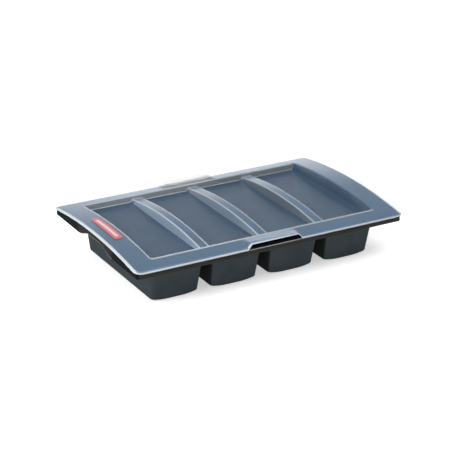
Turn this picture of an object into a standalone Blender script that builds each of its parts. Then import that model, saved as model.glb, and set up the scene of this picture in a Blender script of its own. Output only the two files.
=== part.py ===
"""Four-cup soap loaf mould with an arched, lift-off lid.

Lengths are metres, +X runs along the long side, -Y is the front and the cups stand on z = 0.
Each moulding is a thin shell: an upper skin and an under skin on matching grid lines, joined at their edges.
"""

import math

import bmesh
import bpy
from mathutils import Vector

MM = 0.001
EPS = 0.01 * MM
SHARP_ANGLE = math.radians(30)      # faces that meet at more than this show an edge

# Cups
CUP_COUNT = 4
CUP_PITCH = 75.14 * MM
CUP_WALL = 2.0 * MM
CUP_SPLIT_Z = 48.0 * MM            # the tray is divided into rim and cups at this height
CUP_TOP_GAP = 0.3 * MM
CUP_BOTTOM_HALF = (29.8 * MM, 81.2 * MM)
CUP_CORNER_RADIUS = 4.0 * MM
CUP_EDGE_ROUND = 1.5 * MM
CUP_FLAT_HALF = 8.0 * MM           # flat strip that the mould stands on
CUP_BOTTOM_RISE = 2.85 * MM        # how far the bottom curves up to the side walls
MOUTH_HALF = (30.27 * MM, 88.6 * MM)

# Tray rim
RIM_HALF = (171.6 * MM, 108.8 * MM)
RIM_CORNER_RADIUS = 4.0 * MM
RIM_WALL = 2.0 * MM
RIM_CROWN = 60.7 * MM
ARCH_RADIUS = 694.0 * MM
RIM_EDGE_ROUND = 1.5 * MM
SKIRT_BOTTOM = 44.2 * MM
HANDHOLD_HALF_BASE = 44.0 * MM
HANDHOLD_HALF_TOP = 14.0 * MM
HANDHOLD_RISE = 7.5 * MM
HANDHOLD_RAMP_LINES = (0.0, 0.3, 0.65)    # grid lines along each ramp, as shares of its length
STEP_RUN = (3.6 * MM, 0.7 * MM)    # how far the wall above a mouth leans back, at the ends and front
WEB_TOP_HALF = 4.2 * MM
WEB_HOLLOW_HALF = 2.4 * MM
WEB_CROWN = 57.9 * MM
WEB_RADIUS = 520.0 * MM
CHANNEL_WALL = 1.3 * MM            # inner lip of the channel that holds the stiffener
CHANNEL_DEPTH = 4.5 * MM
CHANNEL_CORNER_GAP = 20.0 * MM    # the lip stops this far short of the rim's corners

# Stiffener
WIRE_RADIUS = 1.5 * MM
WIRE_GAP = 0.3 * MM
WIRE_CORNER_RADIUS = 6.0 * MM
WIRE_CORNER_STEPS = 3
WIRE_BEVEL_STEPS = 2

# Lid
LID_HALF = (174.9 * MM, 110.8 * MM)
LID_CORNER_RADIUS = 8.0 * MM
LID_WALL = 1.2 * MM
LID_CROWN = 62.3 * MM
LID_EDGE_ROUND = 3.0 * MM
LID_LIP_DROP = 3.2 * MM
WINDOW_HALF = (145.0 * MM, 87.7 * MM)
PANEL_HALF = (141.3 * MM, 87.0 * MM)
PANEL_TOP = 49.3 * MM
POCKET_WALL = 1.1 * MM
RIB_TOP_HALF = 6.0 * MM
RIB_FOOT_HALF = 8.9 * MM
RIB_CROWN = 59.6 * MM
TAB_HALF_TOP = 30.0 * MM
TAB_HALF_BASE = 35.0 * MM
TAB_ROOT_Y = 91.0 * MM
TAB_LIFT = 5.3 * MM
TAB_LIP_DROP = 2.4 * MM

# Label
LABEL_CENTRE_X = -156.0 * MM
LABEL_HALF = (5.4 * MM, 33.5 * MM)
LABEL_CORNER_RADIUS = 2.2 * MM
LABEL_THICKNESS = 0.5 * MM
LABEL_GAP = 0.3 * MM

ARCH_LINES = (0.0, 22.0 * MM, 44.0 * MM, 66.0 * MM)    # grid lines along the arch, on either side


def clear_scene():
    for item in list(bpy.data.objects):
        bpy.data.objects.remove(item, do_unlink=True)


def material(name, colour, roughness, metallic=0.0):
    made = bpy.data.materials.new(name)
    made.use_nodes = True
    shader = made.node_tree.nodes["Principled BSDF"]
    shader.inputs["Base Color"].default_value = (*colour, 1.0)
    shader.inputs["Roughness"].default_value = roughness
    shader.inputs["Metallic"].default_value = metallic
    made.diffuse_color = (*colour, 1.0)
    return made


def add_object(name, data, parent, location=(0.0, 0.0, 0.0)):
    made = bpy.data.objects.new(name, data)
    made.location = location
    made.parent = parent
    bpy.context.scene.collection.objects.link(made)
    return made


def finish_mesh(name, bm, look):
    bmesh.ops.recalc_face_normals(bm, faces=bm.faces)
    mesh = bpy.data.meshes.new(name)
    bm.to_mesh(mesh)
    bm.free()
    mesh.materials.append(look)
    mesh.shade_smooth()
    mesh.set_sharp_from_angle(angle=SHARP_ANGLE)
    return mesh


# Curves and outlines

def arch(y, crown, radius=ARCH_RADIUS):
    """Height at y of an arch that runs from front to back with its crown at y = 0."""
    return crown - radius + math.sqrt(radius * radius - y * y)


def smooth_step(t):
    return 0.5 - 0.5 * math.cos(math.pi * min(1.0, max(0.0, t)))


def round_corner(x, y, centre):
    """Moves a point beyond a corner's centre from square outlines on to concentric quarter circles."""
    dx, dy = abs(x) - centre[0], abs(y) - centre[1]
    if dx <= EPS or dy <= EPS:
        return x, y
    reach = max(dx, dy)
    turn = math.pi / 4 * dy / dx if dx > dy else math.pi / 2 - math.pi / 4 * dx / dy
    rounded_x = centre[0] + reach * math.cos(turn)
    rounded_y = centre[1] + reach * math.sin(turn)
    return math.copysign(rounded_x, x), math.copysign(rounded_y, y)


def outward(x, y, centre):
    """Unit direction out of a rounded rectangle at a point on its outline."""
    dx, dy = abs(x) - centre[0], abs(y) - centre[1]
    if dx > EPS and dy > EPS:
        away = Vector((math.copysign(dx, x), math.copysign(dy, y)))
    elif dx > dy:
        away = Vector((math.copysign(1.0, x), 0.0))
    else:
        away = Vector((0.0, math.copysign(1.0, y)))
    return away.normalized()


# Grid lines: each is a pair, its place on the upper skin and its place on the under skin

def plain(values):
    return [(v, v) for v in values]


def corner_pairs(centre, upper, under):
    """Three lines across a corner, from its centre out to the edges of the two skins."""
    return [(centre, centre), ((centre + upper) / 2, (centre + under) / 2), (upper, under)]


def mirrored(pairs):
    both = pairs + [(-a, -b) for a, b in pairs if a > EPS]
    return sorted(both)


def web_pairs(top, foot):
    """Lines along the top edges and the feet of every web or rib."""
    shape = [(-foot[0], -foot[1]), (-top[0], -top[1]), top, foot]
    return [(web + a, web + b) for web in web_centres() for a, b in shape]


def web_centres():
    return [(k - (CUP_COUNT - 2) / 2) * CUP_PITCH for k in range(CUP_COUNT - 1)]


def cup_centres():
    return [(k - (CUP_COUNT - 1) / 2) * CUP_PITCH for k in range(CUP_COUNT)]


def near_web(x, reach):
    return any(abs(x - web) <= reach + EPS for web in web_centres())


# Skins and the faces between them

def crossing(column, row, side, centre):
    """Where two grid lines cross on the upper (side 0) or the under skin (side 1), with rounded corners."""
    return round_corner(column[side], row[side], centre)


def add_skin(bm, columns, rows, place):
    """Vertices by (column, row), each where a function of its two grid lines puts it."""
    skin = {}
    for i, column in enumerate(columns):
        for j, row in enumerate(rows):
            skin[i, j] = bm.verts.new(place(column, row))
    return skin


def add_cells(bm, skin, skip=()):
    """Faces between neighbouring vertices of a skin, by cell, less the cells in skip."""
    faces = {}
    for i, j in skin:
        if (i + 1, j + 1) in skin and (i, j) not in skip:
            ring = (skin[i, j], skin[i + 1, j], skin[i + 1, j + 1], skin[i, j + 1])
            faces[i, j] = bm.faces.new(ring)
    return faces


def block_loop(skin, i0, i1, j0, j1):
    """Vertices around a block of cells, in order."""
    front = [(i, j0) for i in range(i0, i1)]
    right = [(i1, j) for j in range(j0, j1)]
    back = [(i, j1) for i in range(i1, i0, -1)]
    left = [(i0, j) for j in range(j1, j0, -1)]
    return [skin[place] for place in front + right + back + left]


def outer_loop(skin):
    last_column, last_row = max(skin)
    return block_loop(skin, 0, last_column, 0, last_row)


def bridge(bm, loops):
    """Faces between each loop and the next, all with the same number of vertices."""
    for first, second in zip(loops, loops[1:]):
        for k in range(len(first)):
            n = (k + 1) % len(first)
            bm.faces.new((first[k], first[n], second[n], second[k]))


def offset_loop(bm, loop, centre, distance, height):
    """A copy of a loop moved outward by a distance, at the height that a function of x and y gives."""
    made = []
    for vert in loop:
        x, y = vert.co.xy + outward(vert.co.x, vert.co.y, centre) * distance
        made.append(bm.verts.new((x, y, height(x, y))))
    return made


# Tray rim

RIM_CENTRE = (RIM_HALF[0] - RIM_CORNER_RADIUS, RIM_HALF[1] - RIM_CORNER_RADIUS)
CHANNEL_HALF = [half - RIM_WALL - 2 * (WIRE_GAP + WIRE_RADIUS) for half in RIM_HALF]


def rim_lines(axis, inner):
    """Lines from the mouths outward along one axis, after the inner ones."""
    mouth = MOUTH_HALF[1] if axis else cup_centres()[-1] + MOUTH_HALF[0]
    step = mouth + STEP_RUN[axis]
    edge = corner_pairs(RIM_CENTRE[axis], RIM_HALF[axis] - RIM_EDGE_ROUND, RIM_HALF[axis] - RIM_WALL)
    channel = plain([CHANNEL_HALF[axis] - CHANNEL_WALL, CHANNEL_HALF[axis]])
    walls = [(mouth, mouth + RIM_WALL), (step, step + RIM_WALL)]
    return mirrored(walls + channel + edge + plain(inner))


def rim_columns():
    foot = CUP_PITCH / 2 - MOUTH_HALF[0]
    webs = web_pairs((WEB_TOP_HALF, WEB_HOLLOW_HALF), (foot, foot - RIM_WALL))
    return sorted(rim_lines(0, []) + webs)


def rim_rows():
    ramp = HANDHOLD_HALF_BASE - HANDHOLD_HALF_TOP
    handhold = [HANDHOLD_HALF_TOP + share * ramp for share in HANDHOLD_RAMP_LINES]
    return rim_lines(1, list(ARCH_LINES) + handhold)


def rim_height(x, y):
    """Top of the rim: mouths end at the split plane, webs arch low between them, the border arches high."""
    mouth_end = cup_centres()[-1] + MOUTH_HALF[0]
    if abs(x) > mouth_end + EPS or abs(y) > MOUTH_HALF[1] + EPS:
        return arch(y, RIM_CROWN)
    if near_web(x, WEB_TOP_HALF):
        return arch(y, WEB_CROWN, WEB_RADIUS)
    return CUP_SPLIT_Z


def rim_upper(column, row):
    x, y = crossing(column, row, 0, RIM_CENTRE)
    return x, y, rim_height(x, y)


def rim_under(column, row):
    """Under skin: one wall below the upper, except around the mouths, where both end at the split plane."""
    x, y = crossing(column, row, 1, RIM_CENTRE)
    height = rim_height(*crossing(column, row, 0, RIM_CENTRE))
    flush = abs(height - CUP_SPLIT_Z) < EPS
    return x, y, height if flush else height - RIM_WALL


def skirt_bottom(x, y):
    """Bottom edge of the skirt, which rises over the middle of both ends to make the hand holds."""
    if abs(x) < RIM_CENTRE[0]:
        return SKIRT_BOTTOM
    ramp = (HANDHOLD_HALF_BASE - abs(y)) / (HANDHOLD_HALF_BASE - HANDHOLD_HALF_TOP)
    return SKIRT_BOTTOM + HANDHOLD_RISE * smooth_step(ramp)


def mouth_blocks(columns, rows):
    """Grid block of each mouth."""
    xs, ys = [c[0] for c in columns], [r[0] for r in rows]
    j0, j1 = (min(range(len(ys)), key=lambda j: abs(ys[j] - y)) for y in (-MOUTH_HALF[1], MOUTH_HALF[1]))
    blocks = []
    for centre in cup_centres():
        ends = (centre - MOUTH_HALF[0], centre + MOUTH_HALF[0])
        i0, i1 = (min(range(len(xs)), key=lambda i: abs(xs[i] - x)) for x in ends)
        blocks.append((i0, i1, j0, j1))
    return blocks


def on_channel_lip(column, next_column, row, next_row):
    """Whether a cell of the under skin is in the band inside the stiffener, which stops at the corners."""
    near = [min(abs(a[1]), abs(b[1])) for a, b in ((column, next_column), (row, next_row))]
    far = [max(abs(a[1]), abs(b[1])) for a, b in ((column, next_column), (row, next_row))]
    inside = all(far[axis] < CHANNEL_HALF[axis] + EPS for axis in (0, 1))
    touching = any(far[axis] > CHANNEL_HALF[axis] - EPS for axis in (0, 1))
    corner = all(near[axis] > RIM_CENTRE[axis] - CHANNEL_CORNER_GAP for axis in (0, 1))
    return inside and touching and not corner


def extrude_channel_lip(bm, columns, rows, under_faces):
    """Draws the band of faces down, as the inner lip of the channel that holds the stiffener."""
    band = [face for (i, j), face in under_faces.items()
            if on_channel_lip(columns[i], columns[i + 1], rows[j], rows[j + 1])]
    made = bmesh.ops.extrude_face_region(bm, geom=band)["geom"]
    bmesh.ops.delete(bm, geom=band, context="FACES_ONLY")
    lip = [item for item in made if isinstance(item, bmesh.types.BMVert)]
    bmesh.ops.translate(bm, verts=lip, vec=(0.0, 0.0, -CHANNEL_DEPTH))


def rim_mesh(look):
    bm = bmesh.new()
    columns, rows = rim_columns(), rim_rows()
    blocks = mouth_blocks(columns, rows)
    holes = {(i, j) for i0, i1, j0, j1 in blocks for i in range(i0, i1) for j in range(j0, j1)}
    upper = add_skin(bm, columns, rows, rim_upper)
    under = add_skin(bm, columns, rows, rim_under)
    add_cells(bm, upper, holes)
    under_faces = add_cells(bm, under, holes)
    for block in blocks:
        bridge(bm, [block_loop(upper, *block), block_loop(under, *block)])
    top = outer_loop(upper)
    turn = RIM_EDGE_ROUND * (1 - math.sqrt(0.5))
    shoulder = offset_loop(bm, top, RIM_CENTRE, RIM_EDGE_ROUND - turn, lambda x, y: arch(y, RIM_CROWN - turn))
    side = offset_loop(bm, top, RIM_CENTRE, RIM_EDGE_ROUND, lambda x, y: arch(y, RIM_CROWN - RIM_EDGE_ROUND))
    foot = offset_loop(bm, side, RIM_CENTRE, 0.0, skirt_bottom)
    foot_in = offset_loop(bm, foot, RIM_CENTRE, -RIM_WALL, skirt_bottom)
    bridge(bm, [top, shoulder, side, foot, foot_in, outer_loop(under)])
    extrude_channel_lip(bm, columns, rows, under_faces)
    loose = [vert for vert in bm.verts if not vert.link_faces]
    bmesh.ops.delete(bm, geom=loose, context="VERTS")
    return finish_mesh("tray_rim", bm, look)


# Loaf cups

CUP_CENTRE = (CUP_BOTTOM_HALF[0] - CUP_CORNER_RADIUS, CUP_BOTTOM_HALF[1] - CUP_CORNER_RADIUS)


def cup_bottom(x):
    """Height of the cup's outer bottom: a flat strip, then a curve up to both side walls."""
    t = max(0.0, abs(x) - CUP_FLAT_HALF) / (CUP_BOTTOM_HALF[0] - CUP_FLAT_HALF)
    return CUP_BOTTOM_RISE * t * t


def cup_lines(axis, inner):
    upper = CUP_BOTTOM_HALF[axis] - CUP_WALL - CUP_EDGE_ROUND
    under = CUP_BOTTOM_HALF[axis] - CUP_EDGE_ROUND
    return mirrored(corner_pairs(CUP_CENTRE[axis], upper, under) + plain(inner))


def cup_inside(column, row):
    x, y = crossing(column, row, 0, CUP_CENTRE)
    return x, y, cup_bottom(x) + CUP_WALL


def cup_outside(column, row):
    x, y = crossing(column, row, 1, CUP_CENTRE)
    return x, y, cup_bottom(x)


def cup_wall_loops(bm, start, lift, top_half):
    """Loops up one side of a cup's wall: round the bottom edge, then straight to the drafted top."""
    turn = CUP_EDGE_ROUND * (1 - math.sqrt(0.5))
    edge = offset_loop(bm, start, CUP_CENTRE, CUP_EDGE_ROUND - turn, lambda x, y: cup_bottom(x) + lift + turn)
    wall = offset_loop(bm, start, CUP_CENTRE, CUP_EDGE_ROUND,
                       lambda x, y: cup_bottom(x) + lift + CUP_EDGE_ROUND)
    reach = [max(abs(vert.co[axis]) for vert in wall) for axis in (0, 1)]
    top = []
    for vert in wall:
        x, y = (vert.co[axis] * top_half[axis] / reach[axis] for axis in (0, 1))
        top.append(bm.verts.new((x, y, CUP_SPLIT_Z - CUP_TOP_GAP)))
    return [start, edge, wall, top]


def cup_mesh(look):
    bm = bmesh.new()
    columns = cup_lines(0, [CUP_FLAT_HALF, (CUP_FLAT_HALF + CUP_CENTRE[0]) / 2])
    rows = cup_lines(1, [])
    inside = add_skin(bm, columns, rows, cup_inside)
    outside = add_skin(bm, columns, rows, cup_outside)
    add_cells(bm, inside)
    add_cells(bm, outside)
    outer_half = [half + CUP_WALL for half in MOUTH_HALF]
    outer_wall = cup_wall_loops(bm, outer_loop(outside), 0.0, outer_half)
    inner_wall = cup_wall_loops(bm, outer_loop(inside), CUP_WALL, MOUTH_HALF)
    bridge(bm, outer_wall + inner_wall[::-1])
    return finish_mesh("loaf_cup", bm, look)


# Stiffener

def wire_corner(half, side):
    """Points round the back right (side 1) or the back left corner (side -1), in order from right to left."""
    first_turn = 0.0 if side > 0 else math.pi / 2
    points = []
    for step in range(WIRE_CORNER_STEPS + 1):
        turn = first_turn + math.pi / 2 * step / WIRE_CORNER_STEPS
        x = side * (half[0] - WIRE_CORNER_RADIUS) + WIRE_CORNER_RADIUS * math.cos(turn)
        y = half[1] - WIRE_CORNER_RADIUS + WIRE_CORNER_RADIUS * math.sin(turn)
        points.append((x, y))
    return points


def wire_outline(half):
    """Points around a rounded rectangle, with points along both ends, where it follows the arch."""
    places = sorted({-y for y in ARCH_LINES} | set(ARCH_LINES))
    right_end = [(half[0], y) for y in places]
    first_half = right_end + wire_corner(half, 1) + wire_corner(half, -1)
    return first_half + [(-x, -y) for x, y in first_half]


def stiffener_curve(look):
    inset = RIM_WALL + WIRE_GAP + WIRE_RADIUS
    outline = wire_outline([size - inset for size in RIM_HALF])
    curve = bpy.data.curves.new("rim_stiffener", "CURVE")
    curve.dimensions = "3D"
    curve.bevel_depth = WIRE_RADIUS
    curve.bevel_resolution = WIRE_BEVEL_STEPS
    spline = curve.splines.new("POLY")
    spline.points.add(len(outline) - 1)
    for point, (x, y) in zip(spline.points, outline):
        point.co = (x, y, arch(y, RIM_CROWN - inset), 1.0)
    spline.use_cyclic_u = True
    curve.materials.append(look)
    return curve


# Lid

LID_CENTRE = (LID_HALF[0] - LID_CORNER_RADIUS, LID_HALF[1] - LID_CORNER_RADIUS)


def lid_lines(axis, inner):
    """Lines from the pockets' ends outward along one axis, after the inner ones."""
    edge = LID_HALF[axis] - LID_EDGE_ROUND
    walls = [(place, place + POCKET_WALL) for place in (PANEL_HALF[axis], WINDOW_HALF[axis])]
    return mirrored(walls + corner_pairs(LID_CENTRE[axis], edge, edge) + plain(inner))


def lid_columns():
    top = (RIB_TOP_HALF, RIB_TOP_HALF - POCKET_WALL)
    foot = (RIB_FOOT_HALF, RIB_FOOT_HALF - POCKET_WALL)
    return sorted(lid_lines(0, [TAB_HALF_TOP, TAB_HALF_BASE]) + web_pairs(top, foot))


def lid_rows():
    return lid_lines(1, [*ARCH_LINES, TAB_ROOT_Y])


def tab_share(x, y):
    """How much of the finger tab's lift applies at a place: none off the tab, all at its lip."""
    across = smooth_step((TAB_HALF_BASE - abs(x)) / (TAB_HALF_BASE - TAB_HALF_TOP))
    along = (abs(y) - TAB_ROOT_Y) / (LID_HALF[1] - TAB_ROOT_Y)
    return across * max(0.0, along)


def lid_height(x, y):
    """Top of the lid: an arched border with two tabs, lower arched ribs, and flat pocket floors."""
    if abs(x) > PANEL_HALF[0] + EPS or abs(y) > PANEL_HALF[1] + EPS:
        return arch(y, LID_CROWN) + TAB_LIFT * tab_share(x, y)
    if near_web(x, RIB_TOP_HALF):
        return arch(y, RIB_CROWN, WEB_RADIUS)
    return PANEL_TOP


def lid_upper(column, row):
    x, y = crossing(column, row, 0, LID_CENTRE)
    return x, y, lid_height(x, y)


def lid_under(column, row):
    x, y = crossing(column, row, 1, LID_CENTRE)
    return x, y, lid_height(*crossing(column, row, 0, LID_CENTRE)) - LID_WALL


def lip_bottom(x, y):
    drop = LID_LIP_DROP + (TAB_LIP_DROP - LID_LIP_DROP) * tab_share(x, y)
    return lid_height(x, y) - drop


def lid_edge(bm, top, radius):
    """Loops round the lid's edge at a radius about its top line: the shoulder, then the lip's bottom."""
    reach = radius * math.sqrt(0.5)
    fall = LID_EDGE_ROUND - reach
    shoulder = offset_loop(bm, top, LID_CENTRE, reach, lambda x, y: lid_height(x, y) - fall)
    return [shoulder, offset_loop(bm, top, LID_CENTRE, radius, lip_bottom)]


def lid_mesh(look):
    bm = bmesh.new()
    columns, rows = lid_columns(), lid_rows()
    upper = add_skin(bm, columns, rows, lid_upper)
    under = add_skin(bm, columns, rows, lid_under)
    add_cells(bm, upper)
    add_cells(bm, under)
    top = outer_loop(upper)
    outer_edge = lid_edge(bm, top, LID_EDGE_ROUND)
    inner_edge = lid_edge(bm, top, LID_EDGE_ROUND - LID_WALL)
    bridge(bm, [top] + outer_edge + inner_edge[::-1] + [outer_loop(under)])
    return finish_mesh("lid", bm, look)


# Label

LABEL_CENTRE = [half - LABEL_CORNER_RADIUS for half in LABEL_HALF]


def label_lines(axis, inner):
    return mirrored(corner_pairs(LABEL_CENTRE[axis], LABEL_HALF[axis], LABEL_HALF[axis]) + plain(inner))


def label_upper(column, row):
    x, y = crossing(column, row, 0, LABEL_CENTRE)
    return x, y, arch(y, LID_CROWN + LABEL_GAP + LABEL_THICKNESS)


def label_under(column, row):
    x, y = crossing(column, row, 1, LABEL_CENTRE)
    return x, y, arch(y, LID_CROWN + LABEL_GAP)


def label_mesh(look):
    bm = bmesh.new()
    columns = label_lines(0, [])
    rows = label_lines(1, [0.0, LABEL_HALF[1] / 2])
    upper = add_skin(bm, columns, rows, label_upper)
    under = add_skin(bm, columns, rows, label_under)
    add_cells(bm, upper)
    add_cells(bm, under)
    bridge(bm, [outer_loop(upper), outer_loop(under)])
    return finish_mesh("lid_label", bm, look)


def build_tray():
    charcoal = material("tray_charcoal", (0.035, 0.040, 0.045), 0.45)
    steel = material("stiffener_steel", (0.55, 0.55, 0.56), 0.35, 1.0)
    tray = add_object("tray_body", None, None)
    add_object("tray_rim", rim_mesh(charcoal), tray)
    cup = cup_mesh(charcoal)
    for number, centre in enumerate(cup_centres(), start=1):
        add_object(f"loaf_cup_{number}", cup, tray, (centre, 0.0, 0.0))
    add_object("rim_stiffener", stiffener_curve(steel), tray)


def build_lid():
    frosted = material("lid_frosted", (0.26, 0.32, 0.38), 0.35)
    red = material("label_red", (0.60, 0.11, 0.14), 0.4)
    lid = add_object("lid_lift_axis", None, None)
    add_object("lid", lid_mesh(frosted), lid)
    add_object("lid_label", label_mesh(red), lid, (LABEL_CENTRE_X, 0.0, 0.0))


clear_scene()
build_tray()
build_lid()
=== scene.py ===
"""Visual model of a four-cup soap loaf mould: charcoal tray, frosted lid, stiffener wire and write-on label.

Lengths are metres in the part's own frame: +X along the long side, -Y to the front, cups standing on z = 0.
Each moulding is a thin shell: an upper skin and an under skin on matching grid lines, joined at their
edges, with its sharp edges rounded by a weighted bevel.
"""

import math

import bmesh
import bpy
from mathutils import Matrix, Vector


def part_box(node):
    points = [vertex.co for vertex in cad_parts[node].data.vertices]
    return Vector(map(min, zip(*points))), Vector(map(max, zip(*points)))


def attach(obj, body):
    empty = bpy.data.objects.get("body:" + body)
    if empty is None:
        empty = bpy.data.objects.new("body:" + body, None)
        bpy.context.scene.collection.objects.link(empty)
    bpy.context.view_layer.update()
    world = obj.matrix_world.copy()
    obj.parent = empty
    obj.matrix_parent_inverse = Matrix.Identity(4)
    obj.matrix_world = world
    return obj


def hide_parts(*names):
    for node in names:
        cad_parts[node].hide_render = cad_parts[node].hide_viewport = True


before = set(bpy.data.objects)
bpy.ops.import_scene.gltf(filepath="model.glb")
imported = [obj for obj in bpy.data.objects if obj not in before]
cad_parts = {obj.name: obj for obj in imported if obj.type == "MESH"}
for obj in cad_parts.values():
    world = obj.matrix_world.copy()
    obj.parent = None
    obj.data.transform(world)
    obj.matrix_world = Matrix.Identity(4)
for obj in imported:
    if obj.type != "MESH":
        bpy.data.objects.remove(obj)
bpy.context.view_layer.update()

MM = 0.001
EPS = 0.01 * MM

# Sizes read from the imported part
RIM_LOW, RIM_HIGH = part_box("tray_rim")
LID_LOW, LID_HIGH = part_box("lid")
LABEL_LOW, LABEL_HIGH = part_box("lid_label")
CUP_NODES = sorted(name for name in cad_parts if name.startswith("loaf_cup"))
CUP_BOXES = [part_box(name) for name in CUP_NODES]
CUP_CENTRES = [(low.x + high.x) / 2 for low, high in CUP_BOXES]
WEB_CENTRES = [(a + b) / 2 for a, b in zip(CUP_CENTRES, CUP_CENTRES[1:])]
CUP_PITCH = CUP_CENTRES[1] - CUP_CENTRES[0]
RIM_HALF = (RIM_HIGH.x, RIM_HIGH.y)
LID_HALF = (LID_HIGH.x, LID_HIGH.y)

# Tray
WALL = 2.0 * MM
MOUTH_Z = 48.0 * MM
MOUTH_HALF = ((CUP_BOXES[0][1].x - CUP_BOXES[0][0].x) / 2 - WALL, CUP_BOXES[0][1].y - WALL)
CUP_BOTTOM_HALF = (29.8 * MM, 81.2 * MM)
CUP_FLAT_HALF = 8.0 * MM           # flat strip that the mould stands on
CUP_BOTTOM_RISE = 2.85 * MM        # how far the bottom curves up to the side walls
CUP_OUTER_RADIUS = 4.0 * MM        # upright corners
CUP_INNER_RADIUS = 2.6 * MM
CUP_OUTER_ROUND = 1.5 * MM         # round the bottom edge
CUP_INNER_ROUND = 1.2 * MM
CUP_BLEND_DEPTH = 4.5 * MM         # below the mouth, where the corners reach their full radius
CUP_INNER_LINES = (8.0 * MM, 14.0 * MM, 20.0 * MM)
RIM_CORNER_RADIUS = 4.0 * MM
RIM_CENTRE = (RIM_HALF[0] - RIM_CORNER_RADIUS, RIM_HALF[1] - RIM_CORNER_RADIUS)  # of a corner
RIM_EDGE_ROUND = 1.5 * MM
RIM_CROWN = RIM_HIGH.z
LEDGE_Z = 49.6 * MM                # ledge along the front and back of the skirt
LEDGE_DEPTH = 0.8 * MM
LEDGE_FADE = 8.0 * MM
ARCH_RADIUS = 694.0 * MM
SKIRT_BOTTOM = RIM_LOW.z
HANDHOLD_HALF_BASE = 44.0 * MM
HANDHOLD_HALF_TOP = 14.0 * MM
HANDHOLD_RISE = 7.5 * MM
STEP_RUN = (3.6 * MM, 0.7 * MM)    # how far the wall above a mouth leans back, at the ends and front
WEB_TOP_HALF = 4.2 * MM
WEB_HOLLOW_HALF = 2.4 * MM
WEB_CROWN = 57.9 * MM
WEB_RADIUS = 520.0 * MM
CHANNEL_WALL = 1.3 * MM
CHANNEL_DEPTH = 4.5 * MM
CHANNEL_CORNER_GAP = 20.0 * MM
RAMP_STEPS = 6                     # grid lines along a hand hold's ramp
OUTER_STEP = 8.0 * MM              # grid spacing beyond the hand holds

# Stiffener
WIRE_RADIUS = 1.5 * MM
WIRE_GAP = 0.3 * MM
WIRE_CORNER_RADIUS = 6.0 * MM
WIRE_CORNER_STEPS = 8
WIRE_END_STEPS = 24
WIRE_INSET = WALL + WIRE_GAP + WIRE_RADIUS
CHANNEL_HALF = [half - WALL - 2 * (WIRE_GAP + WIRE_RADIUS) for half in RIM_HALF]

# Lid
LID_WALL = 1.2 * MM
LID_CROWN = LID_HIGH.z
LID_CORNER_RADIUS = 9.0 * MM
LID_CENTRE = (LID_HALF[0] - LID_CORNER_RADIUS, LID_HALF[1] - LID_CORNER_RADIUS)  # of a corner
LID_EDGE_ROUND = 3.0 * MM
LID_LIP_DROP = (2.0 * MM, 2.5 * MM)  # at the ends, at the front and back
WINDOW_HALF = (145.0 * MM, 87.7 * MM)
PANEL_HALF = (141.3 * MM, 87.0 * MM)
PANEL_TOP = 49.3 * MM
POCKET_WALL = 1.1 * MM
RIB_TOP_HALF = 6.0 * MM
RIB_FOOT_HALF = 8.9 * MM
RIB_CROWN = 59.6 * MM
TAB_HALF_TOP = 30.0 * MM
TAB_HALF_BASE = 35.0 * MM
TAB_ROOT_Y = 91.0 * MM
TAB_LIFT = 5.3 * MM
TAB_LIP_DROP = 1.4 * MM
TAB_LIP_START = 4.0                # how much sooner than the tab rises, its lip gets shallow
LID_ROW_STEP = 8.0 * MM
LID_LAST_ROW = 80.0 * MM
TAB_ROWS = 4

# Label
LABEL_CENTRE_X = (LABEL_LOW.x + LABEL_HIGH.x) / 2
LABEL_HALF = ((LABEL_HIGH.x - LABEL_LOW.x) / 2, LABEL_HIGH.y)
LABEL_CORNER_RADIUS = LABEL_HALF[0] - 1.0 * MM
LABEL_CORNER = [half - LABEL_CORNER_RADIUS for half in LABEL_HALF]
LABEL_CROWN = LABEL_HIGH.z
LABEL_THICKNESS = 0.5 * MM
LABEL_ROWS = 4
LABEL_FRAME = (4.6 * MM, 7.5 * MM)  # width of the red along the sides and the ends
LABEL_FADE = 2.0 * MM              # over which the red turns pale
LABEL_EDGE_FILLET = 0.2 * MM

# Fillets
WIDEST_FILLET = 2.0 * MM
CONVEX_FILLET = 1.3 * MM
LID_EDGE_FILLET = 1.0 * MM         # along the tops of the lid's ribs and window
EDGE_STRIP = 1.8 * MM              # strip beside those edges, with a painted highlight
OUTER_STRIP = (2.1 * MM, 4.1 * MM)  # strips beside the lid's right and back edges, with a painted highlight
CONCAVE_FILLET = 0.6 * MM
FREE_EDGE_FILLET = 0.45 * MM
SKIRT_EDGE_FILLET = 0.7 * MM
LIP_STEEPNESS = 0.30               # from here on, the lid's rounded front edge looks like lip
LIP_STEEPNESS_LEFT = 0.01          # the same on the left end, where almost all the rounding gets the white lip as a painted highlight
LIP_STEEPNESS_TAB = 0.10           # the same on the front tab
WALL_STEEPNESS = 0.4               # from here on, a face of the lid is a wall of a pocket or rib
TOP_FACING = 0.05                  # a fillet face that looks up by more than this is on top
ACROSS_FACING = 0.6                # a cup's face that looks sideways by more than this is a side wall
END_FACING = 0.2                   # a skirt's face that looks out by more than this is on its outside
SHARP_FROM = math.radians(18)      # edges flatter than this get no fillet
SHARP_FULL = math.radians(38)
SHARP_SHADING = math.radians(45)     # edges sharper than this stay sharp in the shading
ROUND_STEPS = 4                    # steps of a quarter circle that is built from loops
CORNER_STEPS = 3                   # grid lines from a corner's centre to its diagonal

# Camera and stage
CAMERA_AZIMUTH = math.radians(-29.322)
CAMERA_ELEVATION = math.radians(22.860)
CAMERA_TARGET = Vector((10.86 * MM, 15.82 * MM, 21.12 * MM))
CAMERA_DISTANCE = 1.95
CAMERA_LENS = 128.66
CAMERA_SENSOR = 36.0
CAMERA_REACH = 50.0
FLOOR_HALF = 6.0
WORLD_HEIGHTS = (0.05, 0.35)       # of a direction's Z, from the pale horizon to the grey above
WORLD_TONES = (0.95, 0.40)


# Curves and outlines

def arch(y, crown, radius=ARCH_RADIUS):
    """Height at y of an arch that runs from front to back with its crown at y = 0."""
    return crown - radius + math.sqrt(radius * radius - y * y)


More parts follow.
